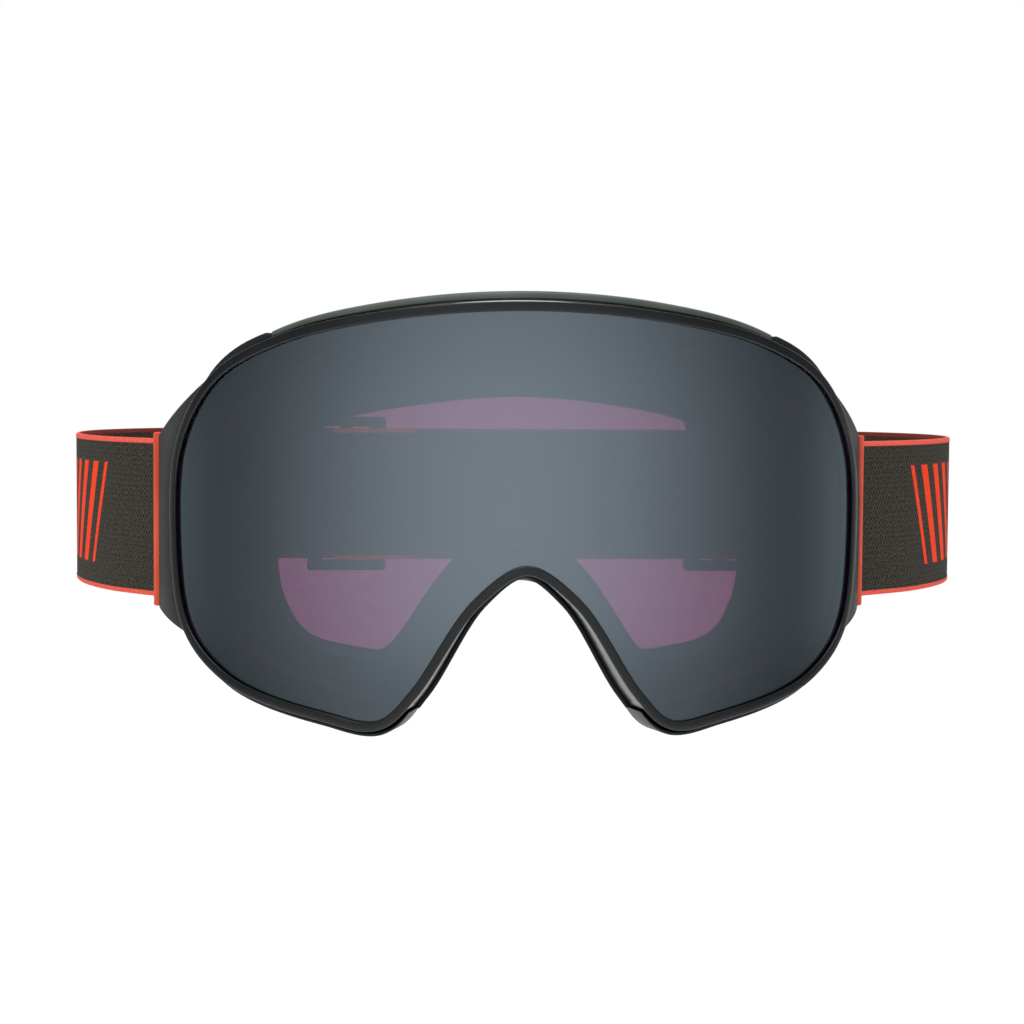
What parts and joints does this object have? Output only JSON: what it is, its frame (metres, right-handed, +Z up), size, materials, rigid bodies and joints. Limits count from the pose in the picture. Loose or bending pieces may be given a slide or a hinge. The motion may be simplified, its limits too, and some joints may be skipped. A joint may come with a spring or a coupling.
{
  "type": "ski goggles",
  "caption": "Ski goggles with a large cylindrical mirrored lens that pulls off its magnets, a foam-backed frame, side wings and an adjustable elastic strap.",
  "frame": {"origin": "on the symmetry plane where the brow foam meets the face, at the height of the eyes", "axes": "+X along the goggles' width, +Y from the lens towards the wearer's head, +Z up"},
  "size_m": [0.2459, 0.1897, 0.102],
  "materials": {
    "mirror_lens": "grey mirror coating",
    "clear_lens": "rose tinted, clear",
    "gasket_foam": "closed-cell foam",
    "rim_plastic": "satin black",
    "frame_plastic": "satin black",
    "brow_trim": "matte green-grey",
    "nose_rubber": "matte grey",
    "vent_foam": "open-cell foam",
    "face_foam": "soft foam",
    "fleece": "brushed fleece",
    "wing_plastic": "satin dark green-grey",
    "magnet": "nickel plated",
    "anchor_plastic": "satin orange",
    "webbing": "heather weave, coral edges",
    "silicone": "matte silicone",
    "slider_plastic": "satin black"
  },
  "bodies": {
    "frame": {"frame_body": "frame_plastic", "brow_bar": "brow_trim", "nose_lip": "nose_rubber", "top_vent_foam": "vent_foam", "bottom_vent_foam_right": "vent_foam", "bottom_vent_foam_left": "vent_foam", "face_foam_base": "face_foam", "face_foam_middle": "face_foam", "face_foam_fleece": "fleece", "wing_right": "wing_plastic", "wing_left": "wing_plastic", "frame_magnet_1": "magnet", "frame_magnet_2": "magnet", "frame_magnet_3": "magnet", "frame_magnet_4": "magnet", "frame_magnet_5": "magnet", "frame_magnet_6": "magnet", "frame_magnet_7": "magnet", "frame_magnet_8": "magnet", "strap_anchor_right": "anchor_plastic", "strap_anchor_left": "anchor_plastic", "strap_right_side": "webbing", "strap_left_side": "webbing", "strap_right_tail": "webbing", "strap_left_tail": "webbing", "strap_grip_right_upper": "silicone", "strap_grip_left_upper": "silicone", "strap_grip_right_lower": "silicone", "strap_grip_left_lower": "silicone"},
    "lens_unit": {"outer_lens": "mirror_lens", "lens_gasket": "gasket_foam", "inner_lens": "clear_lens", "lens_frame": "rim_plastic", "lens_magnet_1": "magnet", "lens_magnet_2": "magnet", "lens_magnet_3": "magnet", "lens_magnet_4": "magnet", "lens_magnet_5": "magnet", "lens_magnet_6": "magnet", "lens_magnet_7": "magnet", "lens_magnet_8": "magnet"},
    "slider_left": {"slider_left": "slider_plastic"},
    "slider_right": {"slider_right": "slider_plastic"}
  },
  "joints": [
    {"name": "lens_pull", "type": "slide", "parent": "frame", "child": "lens_unit", "axis": [0, -1, 0], "range_m": [0, 0.06]},
    {"name": "slider_left_slide", "type": "slide", "parent": "frame", "child": "slider_left", "axis": [1, 0, 0], "range_m": [-0.025, 0.03], "deforming": ["strap_right_tail"]},
    {"name": "slider_right_slide", "type": "slide", "parent": "frame", "child": "slider_right", "axis": [1, 0, 0], "range_m": [-0.03, 0.002], "deforming": ["strap_left_tail"]}
  ]
}
